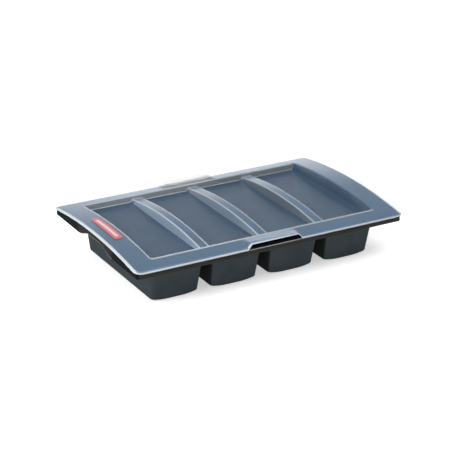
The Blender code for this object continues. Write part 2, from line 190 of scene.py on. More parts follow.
def smooth_step(t):
    return 0.5 - 0.5 * math.cos(math.pi * min(1.0, max(0.0, t)))


def round_corner(x, y, centre):
    """Moves a point beyond a corner's centre from square outlines on to concentric quarter circles."""
    dx, dy = abs(x) - centre[0], abs(y) - centre[1]
    if dx <= EPS or dy <= EPS:
        return x, y
    reach = max(dx, dy)
    turn = math.pi / 4 * dy / dx if dx > dy else math.pi / 2 - math.pi / 4 * dx / dy
    rounded_x = centre[0] + reach * math.cos(turn)
    rounded_y = centre[1] + reach * math.sin(turn)
    return math.copysign(rounded_x, x), math.copysign(rounded_y, y)


def outward(x, y, centre):
    """Unit direction out of a rounded rectangle at a point on its outline."""
    dx, dy = abs(x) - centre[0], abs(y) - centre[1]
    if dx > EPS and dy > EPS:
        away = Vector((math.copysign(dx, x), math.copysign(dy, y)))
    elif dx > dy:
        away = Vector((math.copysign(1.0, x), 0.0))
    else:
        away = Vector((0.0, math.copysign(1.0, y)))
    return away.normalized()


# Grid lines: each is a pair, its place on the upper skin and its place on the under skin

def plain(values):
    return [(v, v) for v in values]


def corner_pairs(centre, upper, under):
    """Lines across a corner, from its centre out to the edges of the two skins."""
    shares = [k / CORNER_STEPS for k in range(CORNER_STEPS + 1)]
    return [(centre + t * (upper - centre), centre + t * (under - centre)) for t in shares]


def mirrored(pairs):
    both = pairs + [(-a, -b) for a, b in pairs if a > EPS]
    return sorted(both)


def web_pairs(top, foot):
    """Lines along the top edges and the feet of every web or rib."""
    shape = [(-foot[0], -foot[1]), (-top[0], -top[1]), top, foot]
    return [(web + a, web + b) for web in WEB_CENTRES for a, b in shape]


def near_web(x, reach):
    return any(abs(x - web) <= reach + EPS for web in WEB_CENTRES)


def crossing(column, row, side, centre):
    """Where two grid lines cross on the upper (side 0) or the under skin (side 1), with rounded corners."""
    return round_corner(column[side], row[side], centre)


# Skins and the faces between them

def add_skin(bm, columns, rows, place):
    """Vertices by (column, row), each where a function of its two grid lines puts it."""
    skin = {}
    for i, column in enumerate(columns):
        for j, row in enumerate(rows):
            skin[i, j] = bm.verts.new(place(column, row))
    return skin


def add_cells(bm, skin, skip=()):
    """Faces between neighbouring vertices of a skin, by cell, less the cells in skip."""
    faces = {}
    for i, j in skin:
        if (i + 1, j + 1) in skin and (i, j) not in skip:
            ring = (skin[i, j], skin[i + 1, j], skin[i + 1, j + 1], skin[i, j + 1])
            faces[i, j] = bm.faces.new(ring)
    return faces


def block_ring(i0, i1, j0, j1):
    """Grid places around a block of cells, in order."""
    front = [(i, j0) for i in range(i0, i1)]
    right = [(i1, j) for j in range(j0, j1)]
    back = [(i, j1) for i in range(i1, i0, -1)]
    left = [(i0, j) for j in range(j1, j0, -1)]
    return front + right + back + left


def outer_loop(skin):
    last_column, last_row = max(skin)
    return [skin[place] for place in block_ring(0, last_column, 0, last_row)]


def bridge(bm, loops):
    """Faces between each loop and the next, all with the same number of vertices."""
    for first, second in zip(loops, loops[1:]):
        for k in range(len(first)):
            n = (k + 1) % len(first)
            bm.faces.new((first[k], first[n], second[n], second[k]))


def offset_loop(bm, loop, centre, distance, height):
    """A copy of a loop moved outward by a distance, at the height that a function of x and y gives."""
    made = []
    for vert in loop:
        x, y = vert.co.xy + outward(vert.co.x, vert.co.y, centre) * distance
        made.append(bm.verts.new((x, y, height(x, y))))
    return made


def quarter_turns(steps=ROUND_STEPS):
    """Shares (outward, downward) of a radius along a quarter circle, less its start."""
    turns = [math.pi / 2 * (k + 1) / steps for k in range(steps)]
    return [(math.sin(turn), 1 - math.cos(turn)) for turn in turns]


# Fillets

def weigh_edges(bm, radius_of):
    """Bevel weights: the fillet radius of each edge, tapered off where the edge is nearly flat."""
    layer = bm.edges.layers.float.new("bevel_weight_edge")
    for edge in bm.edges:
        angle = edge.calc_face_angle_signed(0.0)
        share = (abs(angle) - SHARP_FROM) / (SHARP_FULL - SHARP_FROM)
        radius = radius_of(edge, angle > 0)
        edge[layer] = min(1.0, max(0.0, share)) * radius / WIDEST_FILLET


def rounded_object(name, bm, looks, radius_of, segments=3):
    """An object from a closed cage, its sharp edges rounded. Fillet faces get the last of its looks."""
    bmesh.ops.recalc_face_normals(bm, faces=bm.faces)
    weigh_edges(bm, radius_of)
    cage = bpy.data.meshes.new(name + "_cage")
    bm.to_mesh(cage)
    bm.free()
    for look in looks:
        cage.materials.append(look)
    source = bpy.data.objects.new(name + "_cage", cage)
    bpy.context.scene.collection.objects.link(source)
    bevel = source.modifiers.new("fillets", "BEVEL")
    bevel.limit_method = "WEIGHT"
    bevel.width = WIDEST_FILLET
    bevel.segments = segments
    bevel.use_clamp_overlap = False
    bevel.material = len(looks) - 1
    graph = bpy.context.evaluated_depsgraph_get()
    mesh = bpy.data.meshes.new_from_object(source.evaluated_get(graph))
    bpy.data.objects.remove(source)
    bpy.data.meshes.remove(cage)
    mesh.name = name
    return place_object(name, mesh)


def place_object(name, data):
    made = bpy.data.objects.new(name, data)
    bpy.context.scene.collection.objects.link(made)
    return made


def shade(piece):
    """Smooth shading that keeps the broad faces flat and the fillets round."""
    piece.data.shade_smooth()
    piece.data.set_sharp_from_angle(angle=SHARP_SHADING)
    normals = piece.modifiers.new("weighted_normals", "WEIGHTED_NORMAL")
    normals.keep_sharp = True


# Tray

def mouth_corner_pairs(half):
    """Grid lines that carry the round corners of the cups, just inside a mouth's edge."""
    offsets = (CUP_OUTER_RADIUS, CUP_OUTER_RADIUS / 2)
    return [(half - offset, half + WALL - offset) for offset in offsets]


def tray_lines(axis, mouth, inner):
    """Lines from the outermost mouth edges to the rim's edge along one axis, after the inner ones."""
    step = mouth + STEP_RUN[axis]
    edge = corner_pairs(RIM_CENTRE[axis], RIM_HALF[axis] - RIM_EDGE_ROUND, RIM_HALF[axis] - WALL)
    channel = plain([CHANNEL_HALF[axis] - CHANNEL_WALL, CHANNEL_HALF[axis]])
    walls = [(mouth, mouth + WALL), (step, step + WALL)]
    return mirrored(walls + channel + edge + inner)


def tray_columns():
    foot = CUP_PITCH / 2 - MOUTH_HALF[0]
    webs = web_pairs((WEB_TOP_HALF, WEB_HOLLOW_HALF), (foot, foot - WALL))
    cup = mirrored(plain([0.0, *CUP_INNER_LINES]) + mouth_corner_pairs(MOUTH_HALF[0]))
    cups = [(centre + a, centre + b) for centre in CUP_CENTRES for a, b in cup]
    return sorted(tray_lines(0, CUP_CENTRES[-1] + MOUTH_HALF[0], []) + webs + cups)


def tray_rows():
    ramp = HANDHOLD_HALF_BASE - HANDHOLD_HALF_TOP
    ends = [HANDHOLD_HALF_TOP + ramp * k / RAMP_STEPS for k in range(RAMP_STEPS + 1)]
    far = [HANDHOLD_HALF_BASE + OUTER_STEP * k for k in range(1, 5)]
    lines = [0.0, HANDHOLD_HALF_TOP / 2] + ends + far
    return tray_lines(1, MOUTH_HALF[1], plain(lines) + mouth_corner_pairs(MOUTH_HALF[1]))


def rim_height(x, y):
    """Top of the rim: mouths end at the split plane, webs arch low between them, the border arches high."""
    mouth_end = CUP_CENTRES[-1] + MOUTH_HALF[0]
    if abs(x) > mouth_end + EPS or abs(y) > MOUTH_HALF[1] + EPS:
        return arch(y, RIM_CROWN)
    if near_web(x, WEB_TOP_HALF):
        return arch(y, WEB_CROWN, WEB_RADIUS)
    return MOUTH_Z


def rim_upper(column, row):
    x, y = crossing(column, row, 0, RIM_CENTRE)
    return x, y, rim_height(x, y)


def rim_under(column, row):
    """Under skin: one wall below the upper, except around the mouths, where the cup walls take over."""
    x, y = crossing(column, row, 1, RIM_CENTRE)
    height = rim_height(*crossing(column, row, 0, RIM_CENTRE))
    flush = abs(height - MOUTH_Z) < EPS
    return x, y, height if flush else height - WALL


def skirt_bottom(x, y):
    """Bottom edge of the skirt, which rises over the middle of both ends to make the hand holds."""
    if abs(x) < RIM_CENTRE[0]:
        return SKIRT_BOTTOM
    ramp = (HANDHOLD_HALF_BASE - abs(y)) / (HANDHOLD_HALF_BASE - HANDHOLD_HALF_TOP)
    return SKIRT_BOTTOM + HANDHOLD_RISE * smooth_step(ramp)


def ledge_height(x, y):
    return max(LEDGE_Z, skirt_bottom(x, y) + LEDGE_DEPTH)


def ledge_inset(x):
    """How far the front and back sit in above the ledge, fading out toward the corners."""
    return LEDGE_DEPTH * smooth_step((RIM_CENTRE[0] - abs(x)) / LEDGE_FADE)


def set_back(loops):
    """Moves the loops above the ledge inward, the first ones by less."""
    shares = [out for out, _ in quarter_turns()] + [1.0]
    for loop, share in zip(loops, shares):
        for vert in loop:
            vert.co.y -= math.copysign(share * ledge_inset(vert.co.x), vert.co.y)


def nearest(values, wanted):
    return min(range(len(values)), key=lambda k: abs(values[k] - wanted))


def mouth_blocks(columns, rows):
    """Grid block of each mouth."""
    xs, ys = [c[0] for c in columns], [r[0] for r in rows]
    j0, j1 = nearest(ys, -MOUTH_HALF[1]), nearest(ys, MOUTH_HALF[1])
    ends = [(centre - MOUTH_HALF[0], centre + MOUTH_HALF[0]) for centre in CUP_CENTRES]
    return [(nearest(xs, a), nearest(xs, b), j0, j1) for a, b in ends]


def on_channel_lip(column, next_column, row, next_row):
    """Whether a cell of the under skin is in the band inside the stiffener, which stops at the corners."""
    near = [min(abs(a[1]), abs(b[1])) for a, b in ((column, next_column), (row, next_row))]
    far = [max(abs(a[1]), abs(b[1])) for a, b in ((column, next_column), (row, next_row))]
    inside = all(far[axis] < CHANNEL_HALF[axis] + EPS for axis in (0, 1))
    touching = any(far[axis] > CHANNEL_HALF[axis] - EPS for axis in (0, 1))
    corner = all(near[axis] > RIM_CENTRE[axis] - CHANNEL_CORNER_GAP for axis in (0, 1))
    return inside and touching and not corner


def extrude_channel_lip(bm, columns, rows, under_faces):
    """Draws the band of faces down, as the inner lip of the channel that holds the stiffener."""
    band = [face for (i, j), face in under_faces.items()
            if on_channel_lip(columns[i], columns[i + 1], rows[j], rows[j + 1])]
    made = bmesh.ops.extrude_face_region(bm, geom=band)["geom"]
    bmesh.ops.delete(bm, geom=band, context="FACES_ONLY")
    lip = [item for item in made if isinstance(item, bmesh.types.BMVert)]
    bmesh.ops.translate(bm, verts=lip, vec=(0.0, 0.0, -CHANNEL_DEPTH))


def cup_bottom(x):
    """Height of a cup's outer bottom at x from its centre: a flat strip, then a curve up to the walls."""
    t = max(0.0, abs(x) - CUP_FLAT_HALF) / (CUP_BOTTOM_HALF[0] - CUP_FLAT_HALF)
    return CUP_BOTTOM_RISE * t * t


def refit(value, half, new_half, keep):
    """Moves a place on one outline's axis to a smaller outline: corners keep their size, the rest scales."""
    inset = half - abs(value)
    if inset <= keep + EPS:
        return math.copysign(new_half - inset, value)
    return value * (new_half - keep) / (half - keep)


def add_cup(bm, centre, block, skin, mouth_half, drop, radius, edge_round):
    """One skin of a cup, from a mouth's loop down to its floor, which is drop above the outer one."""
    i0, i1, j0, j1 = block
    shrink = mouth_half[0] - MOUTH_HALF[0] - WALL
    bottom_half = [half + shrink for half in CUP_BOTTOM_HALF]

    def level(place, half, corner):
        vert = skin[place]
        x = refit(vert.co.x - centre, mouth_half[0], half[0], CUP_OUTER_RADIUS)
        y = refit(vert.co.y, mouth_half[1], half[1], CUP_OUTER_RADIUS)
        return round_corner(x, y, (half[0] - corner, half[1] - corner))

    floor_half = [half - edge_round for half in bottom_half]
    floor = {}
    for i in range(i0, i1 + 1):
        for j in range(j0, j1 + 1):
            x, y = level((i, j), floor_half, radius - edge_round)
            floor[i, j] = bm.verts.new((x + centre, y, cup_bottom(x) + drop))
    add_cells(bm, floor)
    ring = block_ring(*block)
    loops = [[floor[place] for place in ring]]
    start = [level(place, floor_half, radius - edge_round) for place in ring]
    turn_centre = [half - radius for half in bottom_half]
    for out, up in quarter_turns():
        loop = []
        for x, y in start:
            px, py = Vector((x, y)) + outward(x, y, turn_centre) * edge_round * out
            loop.append(bm.verts.new((px + centre, py, cup_bottom(px) + drop + edge_round * up)))
        loops.append(loop)
    blend = CUP_BLEND_DEPTH / MOUTH_Z
    high_half = [mouth + blend * (bottom - mouth) for mouth, bottom in zip(mouth_half, bottom_half)]
    high = []
    for place in ring:
        x, y = level(place, high_half, radius)
        high.append(bm.verts.new((x + centre, y, MOUTH_Z - CUP_BLEND_DEPTH)))
    loops.append(high)
    loops.append([skin[place] for place in ring])
    bridge(bm, loops)


def tray_fillet(edge, convex):
    """Fillet radius: small on the skirt's free edge, none where loops already round the shape."""
    low = min(vert.co.z for vert in edge.verts)
    high = max(vert.co.z for vert in edge.verts)
    x, y = (max(abs(vert.co[axis]) for vert in edge.verts) for axis in (0, 1))
    if x > RIM_CENTRE[0] + EPS or y > RIM_CENTRE[1] + EPS:
        on_foot = all(abs(vert.co.z - skirt_bottom(vert.co.x, vert.co.y)) < EPS for vert in edge.verts)
        return SKIRT_EDGE_FILLET if on_foot else 0.0
    if low < MOUTH_Z + EPS or high - low > CHANNEL_DEPTH - EPS and not convex:
        return 0.0
    return CONVEX_FILLET if convex else CONCAVE_FILLET


def between_cups(face):
    """Whether a face is on the outside of a cup's side wall, across from the next cup, where painted shade
    goes.
    """
    centre = CUP_CENTRES[nearest(CUP_CENTRES, face.center.x)]
    out = face.center.x - centre
    at_end = abs(face.center.x) > CUP_CENTRES[-1] + CUP_FLAT_HALF and out * centre > 0
    sideways = face.normal.x * out > ACROSS_FACING * abs(out)
    return face.center.z < MOUTH_Z - CHANNEL_DEPTH and sideways and not at_end


def on_highlit_edge(face, on_fillet):
    """Whether a face is on the ledge, or on the outer edge of a hand hold, the places that get a painted
    highlight.
    """
    x, y, z = face.center
    on_ledge = LEDGE_Z < z < LEDGE_Z + LEDGE_DEPTH and abs(y) > RIM_HALF[1] - LEDGE_DEPTH
    if on_ledge and abs(x) < RIM_CENTRE[0] - LEDGE_FADE:
        return True
    outside = abs(x) > RIM_HALF[0] - SKIRT_EDGE_FILLET and abs(face.normal.x) > END_FACING
    at_foot = z < skirt_bottom(x, y) + SKIRT_EDGE_FILLET
    return on_fillet and outside and at_foot and abs(y) < HANDHOLD_HALF_BASE


def sort_tray_faces(tray, looks):
    """Finds each face's look: 0 rubber, 1 painted shade between the cups, 2 painted highlight on the ledge
    and hand-hold edges.
    """
    for face in tray.data.polygons:
        highlit = on_highlit_edge(face, face.material_index == len(looks) - 1)
        face.material_index = 2 if highlit else 1 if between_cups(face) else 0


def build_tray():
    bm = bmesh.new()
    columns, rows = tray_columns(), tray_rows()
    blocks = mouth_blocks(columns, rows)
    holes = {(i, j) for i0, i1, j0, j1 in blocks for i in range(i0, i1) for j in range(j0, j1)}
    upper = add_skin(bm, columns, rows, rim_upper)
    under = add_skin(bm, columns, rows, rim_under)
    add_cells(bm, upper, holes)
    under_faces = add_cells(bm, under, holes)
    outer_half = [half + WALL for half in MOUTH_HALF]
    for centre, block in zip(CUP_CENTRES, blocks):
        add_cup(bm, centre, block, upper, MOUTH_HALF, WALL, CUP_INNER_RADIUS, CUP_INNER_ROUND)
        add_cup(bm, centre, block, under, outer_half, 0.0, CUP_OUTER_RADIUS, CUP_OUTER_ROUND)
    top = outer_loop(upper)
    loops = [top]
    for out, down in quarter_turns():
        fall = RIM_EDGE_ROUND * down
        edge = offset_loop(bm, top, RIM_CENTRE, RIM_EDGE_ROUND * out, lambda x, y: arch(y, RIM_CROWN - fall))
        loops.append(edge)
    for rise in (LEDGE_DEPTH, 0.0):
        loops.append(offset_loop(bm, loops[-1], RIM_CENTRE, 0.0, lambda x, y: ledge_height(x, y) + rise))
    foot = offset_loop(bm, loops[-1], RIM_CENTRE, 0.0, skirt_bottom)
    set_back(loops[1:-1])
    foot_in = offset_loop(bm, foot, RIM_CENTRE, -WALL, skirt_bottom)
    bridge(bm, loops + [foot, foot_in, outer_loop(under)])
    extrude_channel_lip(bm, columns, rows, under_faces)
    loose = [vert for vert in bm.verts if not vert.link_faces]
    bmesh.ops.delete(bm, geom=loose, context="VERTS")
    looks = [silicone_material("tray_silicone"),
             # painted shade: the cups' side walls that face the next cup are painted darker
             silicone_material("tray_silicone_painted_shade_between_cups", BETWEEN_CUPS_PAINTED_SHADE),
             edge_highlight_material()]
    tray = rounded_object("tray_shell", bm, looks, tray_fillet)
    sort_tray_faces(tray, looks)
    shade(tray)
    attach(tray, "tray")
    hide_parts("tray_rim", *CUP_NODES)


# Stiffener

def wire_outline(half):
    """Points around a rounded rectangle, with points along both ends, where it follows the arch."""
    straight = half[1] - WIRE_CORNER_RADIUS
    steps = range(-WIRE_END_STEPS // 2, WIRE_END_STEPS // 2)
    points = [(half[0], straight * 2 * k / WIRE_END_STEPS) for k in steps]
    for side, first_turn in ((1, 0.0), (-1, math.pi / 2)):
        for step in range(WIRE_CORNER_STEPS + 1):
            turn = first_turn + math.pi / 2 * step / WIRE_CORNER_STEPS
            x = side * (half[0] - WIRE_CORNER_RADIUS) + WIRE_CORNER_RADIUS * math.cos(turn)
            points.append((x, straight + WIRE_CORNER_RADIUS * math.sin(turn)))
    return points + [(-x, -y) for x, y in points]


def build_stiffener():
    outline = wire_outline([size - WIRE_INSET for size in RIM_HALF])
    curve = bpy.data.curves.new("stiffener_wire", "CURVE")
    curve.dimensions = "3D"
    curve.bevel_depth = WIRE_RADIUS
    curve.bevel_resolution = 4
    spline = curve.splines.new("POLY")
    spline.points.add(len(outline) - 1)
    for point, (x, y) in zip(spline.points, outline):
        point.co = (x, y, arch(y, RIM_CROWN - WIRE_INSET), 1.0)
    spline.use_cyclic_u = True
    spline.use_smooth = True
    wire = place_object("stiffener_wire", curve)
    curve.materials.append(steel_material())
    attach(wire, "tray")
    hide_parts("rim_stiffener")


# Lid

def lid_lines(axis, inner):
    """Lines from the pockets' ends outward along one axis, after the inner ones."""
    edge = LID_HALF[axis] - LID_EDGE_ROUND
    walls = [(place, place + POCKET_WALL) for place in (PANEL_HALF[axis], WINDOW_HALF[axis])]
    return mirrored(walls + corner_pairs(LID_CENTRE[axis], edge, edge) + plain(inner))


def lid_columns():
    top = (RIB_TOP_HALF, RIB_TOP_HALF - POCKET_WALL)
    foot = (RIB_FOOT_HALF, RIB_FOOT_HALF - POCKET_WALL)
    tab_side = [TAB_HALF_TOP, (TAB_HALF_TOP + TAB_HALF_BASE) / 2, TAB_HALF_BASE]
    strip = RIB_TOP_HALF - EDGE_STRIP
    return sorted(lid_lines(0, tab_side + [WINDOW_HALF[0] + EDGE_STRIP]) + web_pairs(top, foot)
                  + plain([web + side * strip for web in WEB_CENTRES for side in (-1, 1)]))


def lid_rows():
    inner = [LID_ROW_STEP * k for k in range(round(LID_LAST_ROW / LID_ROW_STEP) + 1)]
    slope = (LID_CENTRE[1] - TAB_ROOT_Y) / TAB_ROWS
    return lid_lines(1, inner + [TAB_ROOT_Y + slope * k for k in range(TAB_ROWS)])


def tab_share(x, y):
    """How much of the finger tab's lift applies at a place: none off the tab, all at its lip."""
    across = smooth_step((TAB_HALF_BASE - abs(x)) / (TAB_HALF_BASE - TAB_HALF_TOP))
    along = (abs(y) - TAB_ROOT_Y) / (LID_HALF[1] - TAB_ROOT_Y)
    return across * max(0.0, along)


def lid_height(x, y):
    """Top of the lid: an arched border with two tabs, lower arched ribs, and flat pocket floors."""
    if abs(x) > PANEL_HALF[0] + EPS or abs(y) > PANEL_HALF[1] + EPS:
        return arch(y, LID_CROWN) + TAB_LIFT * tab_share(x, y)
    if near_web(x, RIB_TOP_HALF):
        return arch(y, RIB_CROWN, WEB_RADIUS)
    return PANEL_TOP


def lid_upper(column, row):
    x, y = crossing(column, row, 0, LID_CENTRE)
    return x, y, lid_height(x, y)


def lid_under(column, row):
    x, y = crossing(column, row, 1, LID_CENTRE)
    return x, y, lid_height(*crossing(column, row, 0, LID_CENTRE)) - LID_WALL


def lip_bottom(x, y):
    away = outward(x, y, LID_CENTRE)
    drop = LID_LIP_DROP[0] * away.x ** 2 + LID_LIP_DROP[1] * away.y ** 2
    on_tab = smooth_step(TAB_LIP_START * tab_share(x, y))
    drop += (TAB_LIP_DROP - drop) * on_tab
    return lid_height(x, y) - drop


def lid_edge(bm, top, radius):
    """Loops round the lid's edge at a radius about its top line, down to the lip's bottom."""
    loops = []
    for out, down in quarter_turns():
        fall = LID_EDGE_ROUND - radius + radius * down
        edge = offset_loop(bm, top, LID_CENTRE, radius * out,
                           lambda x, y: max(lid_height(x, y) - fall, lip_bottom(x, y) + EPS))
        loops.append(edge)
    return loops[:-1] + [offset_loop(bm, top, LID_CENTRE, radius, lip_bottom)]


def lid_fillet(edge, convex):
    """Fillet radius: small on the lip's free edge, none on looped rounds or under the window's corners."""
    x, y = (max(abs(vert.co[axis]) for vert in edge.verts) for axis in (0, 1))
    if x > LID_CENTRE[0] + EPS or y > LID_CENTRE[1] + EPS:
        on_lip = all(vert.co.z < lip_bottom(vert.co.x, vert.co.y) + EPS for vert in edge.verts)
        return FREE_EDGE_FILLET if on_lip else 0.0
    nearer = [min(abs(vert.co[axis]) for vert in edge.verts) for axis in (0, 1)]
    if all(place > half + POCKET_WALL - EPS for place, half in zip(nearer, PANEL_HALF)):
        return 0.0
    return LID_EDGE_FILLET if convex else CONCAVE_FILLET


def beside_edge(x, y):
    """Whether a place on top is in the strip beside an edge that drops away to the right or the back, where a
    painted highlight goes.
    """
    if abs(x) < PANEL_HALF[0] and abs(y) < PANEL_HALF[1]:
        return any(web + RIB_TOP_HALF - EDGE_STRIP < x < web + RIB_TOP_HALF for web in WEB_CENTRES)
    left = -WINDOW_HALF[0] - EDGE_STRIP < x < -PANEL_HALF[0] and abs(y) < WINDOW_HALF[1]
    front = -TAB_ROOT_Y < y < -PANEL_HALF[1] and abs(x) < WINDOW_HALF[0]
    return left or front


def fillet_look(face):
    # painted highlight on the fillets at the feet of the front and back pocket walls, and on the top fillets
    # left of the window's right end
    x, y, z = face.center
    if z < PANEL_TOP + CONVEX_FILLET:
        return "lid_edge_highlight" if abs(y) > PANEL_HALF[1] - 2 * CONCAVE_FILLET else "lid_pocket"
    return "lid_frosted" if x > PANEL_HALF[0] else "lid_edge_highlight"


def edge_look(x, y, steepness):
    """Look of the rounded outer edge: a painted highlight at the right and the back, a white lip at the left
    and front that is partly a painted highlight.
    """
    if x > LID_HALF[0] - LID_EDGE_ROUND or y > LID_HALF[1] - LID_EDGE_ROUND:
        return "lid_clear" if abs(x) < TAB_HALF_BASE else "lid_outer_highlight"
    limit = LIP_STEEPNESS
    if x < LID_EDGE_ROUND - LID_HALF[0]:
        limit = LIP_STEEPNESS_LEFT
    elif abs(x) < TAB_HALF_BASE:
        limit = LIP_STEEPNESS_TAB
    return "lid_lip" if steepness > limit else "lid_frosted"


def lid_look(face, on_fillet):
    """Name of the look that a face of the lid gets."""
    x, y, z = face.center
    steepness = 1 - abs(face.normal.z)
    if abs(x) > LID_HALF[0] - LID_EDGE_ROUND or abs(y) > LID_HALF[1] - LID_EDGE_ROUND:
        return edge_look(x, y, steepness)
    if abs(x) < TAB_HALF_BASE and y > TAB_ROOT_Y:
        return "lid_clear"
    # painted highlight in strips beside the right and back edges
    if any(v > half - LID_EDGE_ROUND - strip for v, half, strip in zip((x, y), LID_HALF, OUTER_STRIP)):
        return "lid_outer_highlight"
    if on_fillet and face.normal.z > TOP_FACING:
        return fillet_look(face)
    if steepness > WALL_STEEPNESS:
        if abs(y) > PANEL_HALF[1] - EPS:
            return "lid_cross_wall"
        return "lid_rib_side" if near_web(x, RIB_FOOT_HALF) else "lid_pocket"
    if z < PANEL_TOP + EPS:
        return "lid_pocket"
    return "lid_edge_highlight" if face.normal.z > 0 and beside_edge(x, y) else "lid_frosted"


def sort_lid_faces(lid):
    names = list(LID_LOOKS)
    for face in lid.data.polygons:
        on_fillet = face.material_index == len(names) - 1
        face.material_index = names.index(lid_look(face, on_fillet))


def build_lid():
    bm = bmesh.new()
    columns, rows = lid_columns(), lid_rows()
    upper = add_skin(bm, columns, rows, lid_upper)
    under = add_skin(bm, columns, rows, lid_under)
    add_cells(bm, upper)
    add_cells(bm, under)
    top = outer_loop(upper)
    outer_edge = lid_edge(bm, top, LID_EDGE_ROUND)
    inner_edge = lid_edge(bm, top, LID_EDGE_ROUND - LID_WALL)
    bridge(bm, [top] + outer_edge + inner_edge[::-1] + [outer_loop(under)])
    looks = [frosted_material(name, **look) for name, look in LID_LOOKS.items()]
    lid = rounded_object("lid_shell", bm, looks, lid_fillet)
    sort_lid_faces(lid)
    shade(lid)
    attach(lid, "lid")
    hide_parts("lid")


# Label

def label_lines(axis, inner):
    half = LABEL_HALF[axis]
    return mirrored(corner_pairs(LABEL_CORNER[axis], half, half) + plain(inner))


def label_upper(column, row):
    x, y = crossing(column, row, 0, LABEL_CORNER)
    return x, y, arch(y, LABEL_CROWN)


def label_under(column, row):
    x, y = crossing(column, row, 1, LABEL_CORNER)
    return x, y, arch(y, LABEL_CROWN - LABEL_THICKNESS)


def label_fillet(edge, convex):
    return LABEL_EDGE_FILLET


def build_label():
    bm = bmesh.new()
    columns = label_lines(0, [])
    rows = label_lines(1, [LABEL_CORNER[1] * k / LABEL_ROWS for k in range(LABEL_ROWS)])
    upper = add_skin(bm, columns, rows, label_upper)
    under = add_skin(bm, columns, rows, label_under)
    add_cells(bm, upper)
    add_cells(bm, under)
    bridge(bm, [outer_loop(upper), outer_loop(under)])
    label = rounded_object("write_on_label", bm, [label_material()], label_fillet, 2)
    label.location.x = LABEL_CENTRE_X
    shade(label)
    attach(label, "lid")
    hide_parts("lid_label")


# Materials

# The last share of each look scales its tone toward the right end: painted shade below one, painted light
# above one.
LID_LOOKS = {
    "lid_frosted": dict(dark=(0.27, 0.45, 0.66), light=(0.30, 0.48, 0.70), roughness=(0.285, 0.325),
                        clear=0.80, sheen=0.5, painted_shade_right=1.05),
    "lid_pocket": dict(dark=(0.23, 0.40, 0.62), light=(0.26, 0.44, 0.66), roughness=(0.18, 0.24),
                       clear=0.88, sheen=0.1, painted_shade_right=1.0),
    # lid_rib_side and lid_cross_wall: lighter copies of the sheet for the pocket walls, painted light where
    # light falls on them
    "lid_rib_side": dict(dark=(0.38, 0.50, 0.64), light=(0.42, 0.54, 0.68), roughness=(0.30, 0.38),
                         clear=0.60, sheen=0.1, painted_shade_right=0.45),
    "lid_cross_wall": dict(dark=(0.54, 0.57, 0.60), light=(0.62, 0.65, 0.68), roughness=(0.29, 0.34),
                           clear=0.62, sheen=0.2, painted_shade_right=0.8),
    "lid_clear": dict(dark=(0.88, 0.90, 0.94), light=(0.93, 0.95, 0.98), roughness=(0.30, 0.38),
                      clear=0.93, sheen=0.0, painted_shade_right=1.0, specular=0.03),
    # painted highlight along the lid's right and back edges
    "lid_outer_highlight": dict(dark=(0.86, 0.88, 0.92), light=(0.92, 0.94, 0.97), roughness=(0.30, 0.36),
                     clear=0.30, sheen=0.8, painted_shade_right=1.0),
    # white lip: partly the sheet's own whiter edge, partly a painted highlight, widest on the left end
    "lid_lip": dict(dark=(0.68, 0.73, 0.77), light=(0.74, 0.79, 0.83), roughness=(0.29, 0.36),
                    clear=0.40, sheen=0.3, painted_shade_right=0.9),
    # painted highlight along the top edges of the ribs and the window
    "lid_edge_highlight": dict(dark=(0.60, 0.68, 0.74), light=(0.66, 0.74, 0.80), roughness=(0.285, 0.325),
                            clear=0.45, sheen=1.0, painted_shade_right=0.8),
}
SHEEN_TINT = (0.95, 0.93, 1.0, 1.0)
SHEEN_ROUGHNESS = 0.3
POLYPROPYLENE_IOR = 1.49
BETWEEN_CUPS_PAINTED_SHADE = 0.4            # painted shade between the cups: their tone, as a share of the tray's
CUP_TONE_END = (42.5 * MM, 45.5 * MM)  # heights between which the cups' tone turns into the skirt's
HANDHOLD_TONE_FADE = 4.0 * MM

# Noise scales, in waves per metre
FLOW_SCALE = 22.0
FROST_SCALE = 60.0
MOTTLE_SCALE = 35.0
HIGHLIGHT_MOTTLE_SCALE = 120.0
RUBBER_GRAIN_SCALE = 1800.0
STREAK_SCALE = 900.0
PRINT_SCALE = 700.0
PAPER_SCALE = 3.0

# Heights of the bumps, and how strongly they show
RUBBER_WAVE = (0.3 * MM, 0.2)
RUBBER_GRAIN = (0.05 * MM, 0.4)
STREAK_BUMP = (0.02 * MM, 0.4)
PRINT_BUMP = (0.01 * MM, 0.4)


def scaled(colour, share):
    return tuple(share * part for part in colour)


